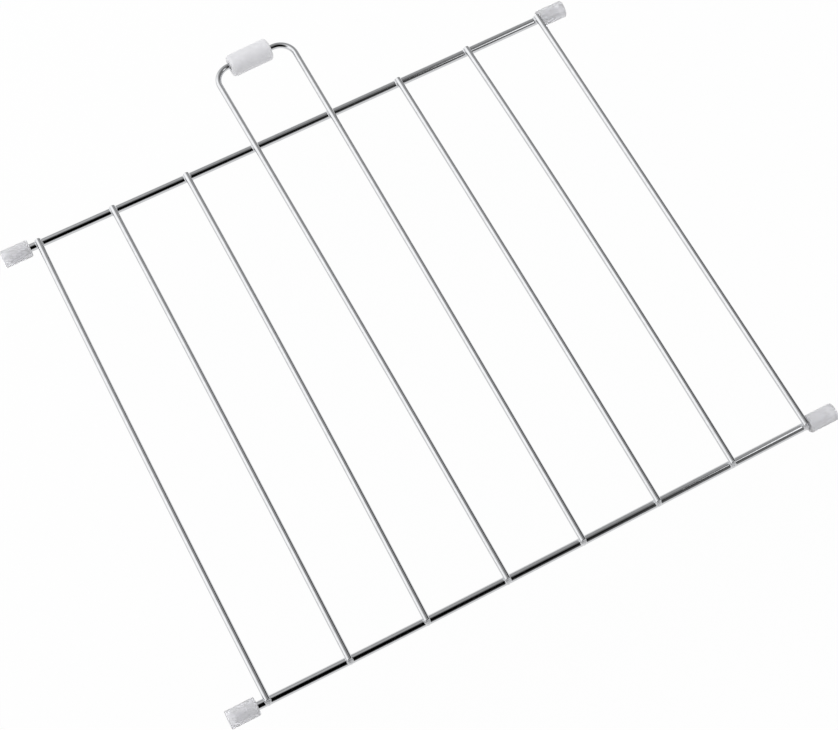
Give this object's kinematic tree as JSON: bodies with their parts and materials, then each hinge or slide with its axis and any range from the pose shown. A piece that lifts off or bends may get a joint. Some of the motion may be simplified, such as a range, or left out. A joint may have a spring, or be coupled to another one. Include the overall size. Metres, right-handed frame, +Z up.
{
  "type": "wall mounted fold down drying rack",
  "caption": "Welded chrome wire drying rack that folds down from a wall, turning in capped rail ends, with a loop stay and soft buffer sleeve.",
  "frame": {"origin": "middle of the base of the whole rack as it lies level on its four rail caps", "axes": "+X along the rails, +Y from the front rail to the pivot rail and on to the wall, +Z up from the rails to the wires on top"},
  "size_m": [0.4098, 0.4116, 0.0172],
  "materials": {
    "chrome_wire": "bright chrome plating on steel wire",
    "cap_plastic": "milky translucent polyethylene, satin",
    "sleeve_plastic": "milky white polyethylene, satin"
  },
  "bodies": {
    "wall_bushes": {"pivot_cap_left": "cap_plastic", "pivot_cap_right": "cap_plastic"},
    "rack": {"pivot_rail": "chrome_wire", "front_rail": "chrome_wire", "loop_wire": "chrome_wire", "cross_wire_1": "chrome_wire", "cross_wire_2": "chrome_wire", "cross_wire_3": "chrome_wire", "cross_wire_4": "chrome_wire", "cross_wire_5": "chrome_wire", "cross_wire_6": "chrome_wire", "front_cap_left": "cap_plastic", "front_cap_right": "cap_plastic"},
    "sleeve": {"buffer_sleeve": "sleeve_plastic"}
  },
  "joints": [
    {"name": "fold", "type": "hinge", "parent": "wall_bushes", "child": "rack", "pos_m": [0, 0.1359, 0.0057], "axis": [-1, 0, 0], "range_deg": [0, 90]},
    {"name": "sleeve_turn", "type": "hinge", "parent": "rack", "child": "sleeve", "pos_m": [0.00205, 0.1982, 0.00965], "axis": [1, 0, 0], "continuous": true}
  ]
}
